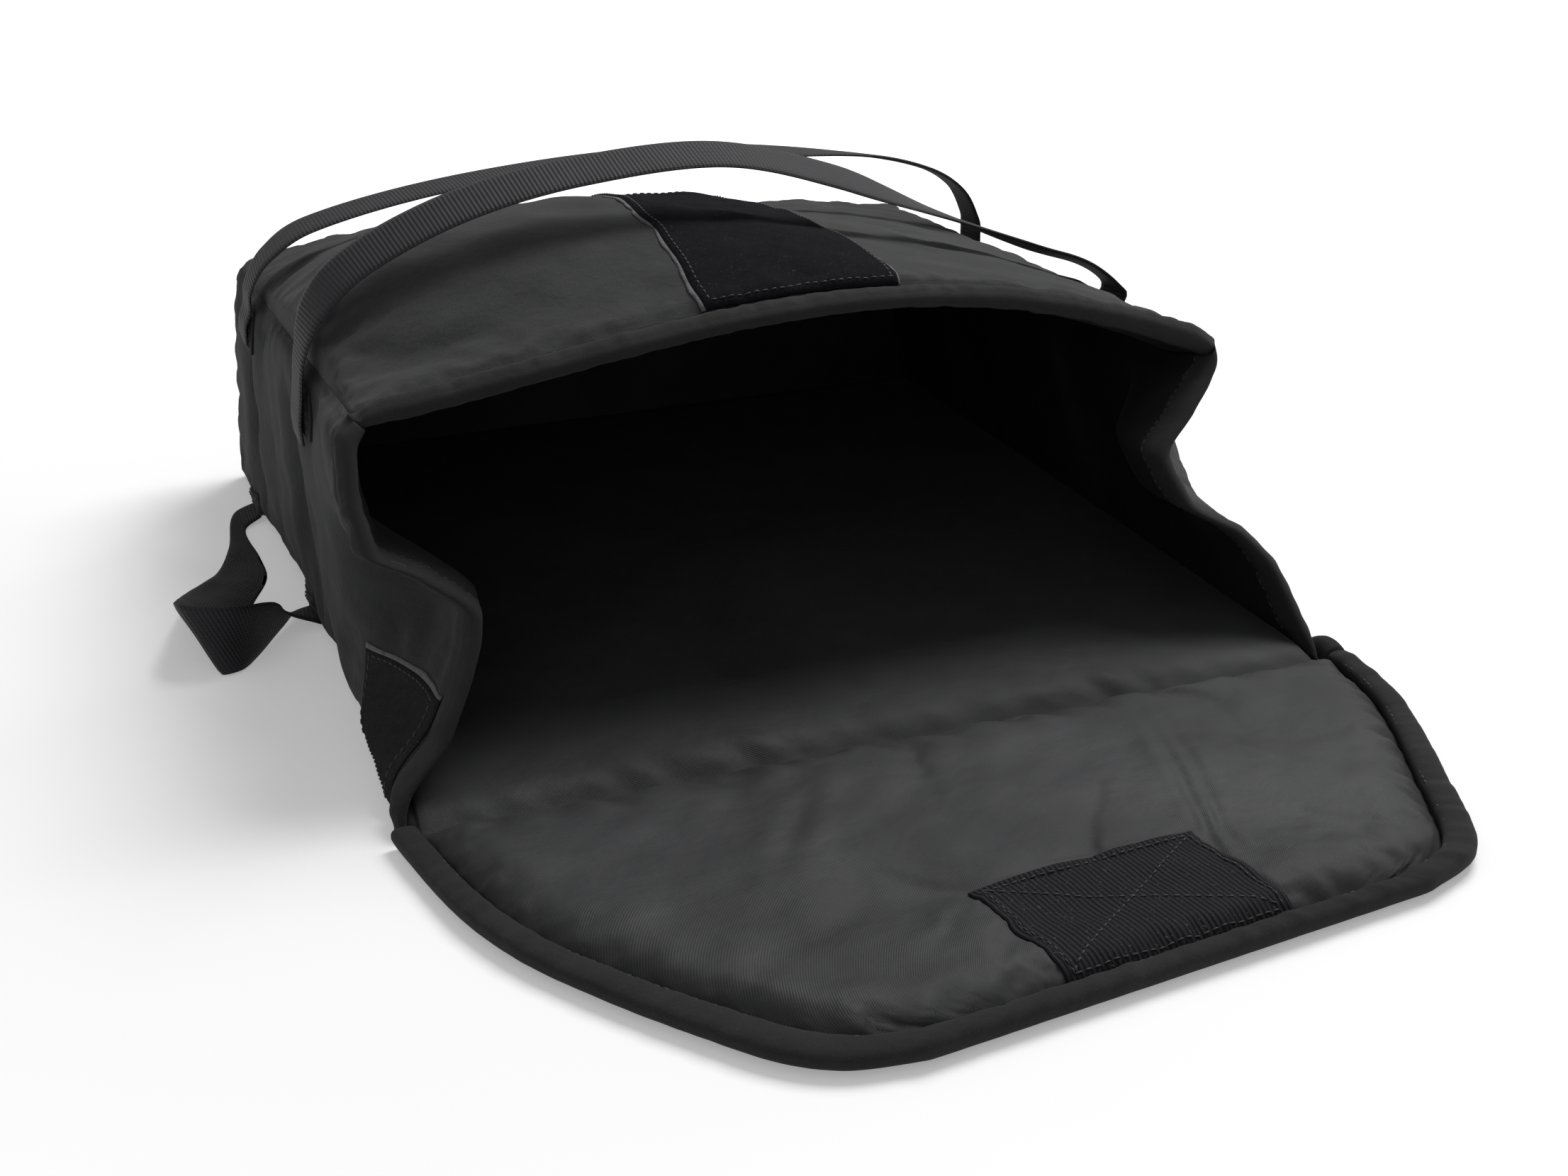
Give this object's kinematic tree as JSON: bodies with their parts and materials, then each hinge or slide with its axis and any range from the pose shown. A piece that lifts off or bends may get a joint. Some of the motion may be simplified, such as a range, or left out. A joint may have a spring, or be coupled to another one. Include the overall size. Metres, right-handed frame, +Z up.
{
  "type": "pizza delivery bag",
  "caption": "Soft insulated carrier for flat food boxes, with a padded front flap that closes over the slanted mouth, webbing arch handles over a domed top and a side grab loop.",
  "frame": {"origin": "centre of the flat underside, on the ground, midway between the hinge seam of the flap and the back wall", "axes": "+X to the right seen from the mouth, +Y into the bag, +Z up; the flap lies on the ground towards -Y"},
  "size_m": [0.5746, 0.7718, 0.2502],
  "materials": {
    "outer_fabric": "plain woven polyester, matt charcoal",
    "padding": "soft insulating wadding, hidden between the skins",
    "lining_fabric": "fine twill, dark charcoal with a faint sheen",
    "binding_tape": "folded woven tape, matt black",
    "webbing": "cross-ribbed woven webbing, matt black",
    "pile_tape": "brushed loop pile, fuzzy matt black",
    "hook_tape": "ribbed hook tape, matt black"
  },
  "bodies": {
    "bag": {"left_outer": "outer_fabric", "left_padding": "padding", "left_lining": "lining_fabric", "right_outer": "outer_fabric", "right_padding": "padding", "right_lining": "lining_fabric", "top_outer": "outer_fabric", "top_padding": "padding", "top_lining": "lining_fabric", "bottom_outer": "outer_fabric", "bottom_padding": "padding", "bottom_lining": "lining_fabric", "back_outer": "outer_fabric", "back_padding": "padding", "back_lining": "lining_fabric", "top_binding": "binding_tape", "left_binding": "binding_tape", "right_binding": "binding_tape", "top_loop_strip": "pile_tape", "left_loop_patch": "pile_tape", "right_loop_patch": "pile_tape", "front_handle_tab_left": "webbing", "front_handle_tab_right": "webbing", "rear_handle_tab_left": "webbing", "rear_handle_tab_right": "webbing", "side_handle_tab_front": "webbing", "side_handle_tab_back": "webbing"},
    "flap_front": {"flap_front_outer": "outer_fabric", "flap_front_padding": "padding", "flap_front_lining": "lining_fabric", "flap_welt_left": "binding_tape", "flap_welt_right": "binding_tape"},
    "flap_tip": {"flap_tip_outer": "outer_fabric", "flap_tip_padding": "padding", "flap_tip_lining": "lining_fabric", "flap_welt_tip": "binding_tape", "hook_patch": "hook_tape"},
    "front_handle": {"front_handle": "webbing"},
    "rear_handle": {"rear_handle": "webbing"},
    "side_handle": {"side_handle": "webbing"}
  },
  "joints": [
    {"name": "flap_hinge", "type": "hinge", "parent": "bag", "child": "flap_front", "pos_m": [0, -0.265, 0.012], "axis": [-1, 0, 0], "range_deg": [0, 103]},
    {"name": "flap_bend", "type": "hinge", "parent": "flap_front", "child": "flap_tip", "pos_m": [0, -0.39518, 0.013], "axis": [-0.9976, -0.0697, 0], "range_deg": [0, 42]},
    {"name": "front_handle_swing", "type": "hinge", "parent": "bag", "child": "front_handle", "pos_m": [0, -0.04221, 0.134], "axis": [1, 0, 0], "range_deg": [-24, 22]},
    {"name": "rear_handle_swing", "type": "hinge", "parent": "bag", "child": "rear_handle", "pos_m": [0, 0.15603, 0.134], "axis": [1, 0, 0], "range_deg": [-38, 18]},
    {"name": "side_handle_lift", "type": "hinge", "parent": "bag", "child": "side_handle", "pos_m": [-0.25103, 0.09727, 0.0055], "axis": [0, 1, 0], "range_deg": [0, 42]}
  ]
}
